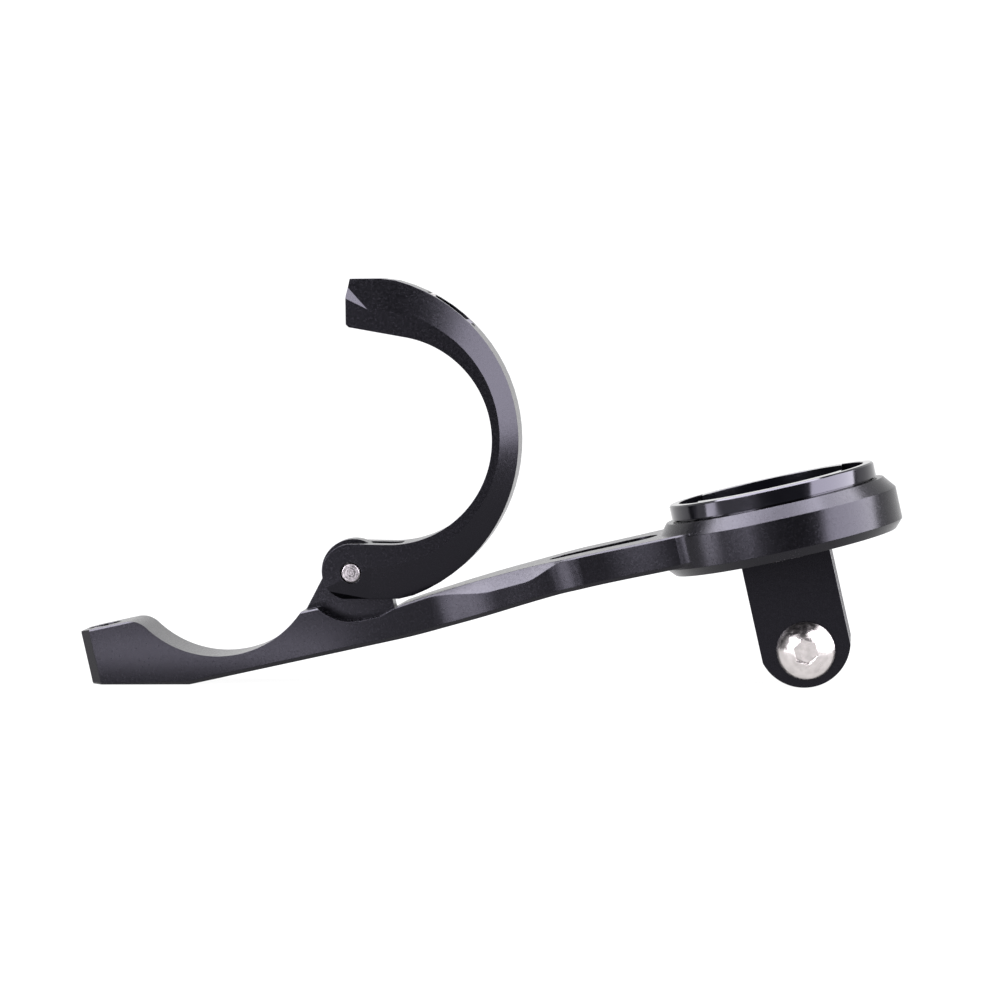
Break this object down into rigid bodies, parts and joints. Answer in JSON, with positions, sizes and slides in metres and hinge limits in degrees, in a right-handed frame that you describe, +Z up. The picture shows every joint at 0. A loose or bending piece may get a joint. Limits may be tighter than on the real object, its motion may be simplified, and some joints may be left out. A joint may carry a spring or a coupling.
{
  "type": "handlebar mount",
  "caption": "Out-front handlebar mount for a cycling computer: hinged bar clamp, flat arm with a round bayonet seat at its end, and a three-prong action camera tab below.",
  "frame": {"origin": "centre of the box at the level of the surface that the heel and the camera tab stand on", "axes": "+X along the arm from the handlebar clamp towards the computer seat, +Y along the handlebar, +Z up. The seat leans back 12.1 degrees from level, as the mount stands on a table with its jaw open."},
  "size_m": [0.126, 0.0366, 0.062],
  "materials": {
    "anodised": "satin bead-blasted black anodising",
    "gloss_insert": "glossy black",
    "tab_black": "satin black anodising",
    "steel": "turned stainless steel",
    "polished_steel": "polished stainless steel",
    "rubber": "matte"
  },
  "bodies": {
    "mount": {"arm_body": "anodised", "hinge_pin": "steel", "clamp_thread_bushing": "steel", "computer_seat_insert": "gloss_insert", "seat_screw_1": "steel", "seat_screw_2": "steel", "seat_screw_3": "steel", "seat_screw_4": "steel", "camera_tab": "tab_black", "tab_screw_1": "steel", "tab_screw_2": "steel", "camera_nut": "steel"},
    "jaw": {"clamp_jaw": "anodised", "clamp_bolt_retainer": "rubber"},
    "bolt_carrier": {"clamp_washer": "steel"},
    "bolt": {"clamp_bolt": "steel"},
    "camera_screw": {"camera_bolt": "polished_steel"}
  },
  "joints": [
    {"name": "jaw_hinge", "type": "hinge", "parent": "mount", "child": "jaw", "pos_m": [-0.02071, 0, 0.01718], "axis": [0, -1, 0], "range_deg": [0, 98]},
    {"name": "clamp_bolt_slide", "type": "slide", "parent": "jaw", "child": "bolt_carrier", "axis": [-1, 0, 0], "range_m": [0, 0.006]},
    {"name": "clamp_bolt_turn", "type": "hinge", "parent": "bolt_carrier", "child": "bolt", "pos_m": [-0.02073, 0, 0.05716], "axis": [1, 0, 0], "continuous": true},
    {"name": "camera_bolt_travel", "type": "slide", "parent": "mount", "child": "camera_screw", "axis": [0, -1, 0], "range_m": [0, 0.018]}
  ]
}
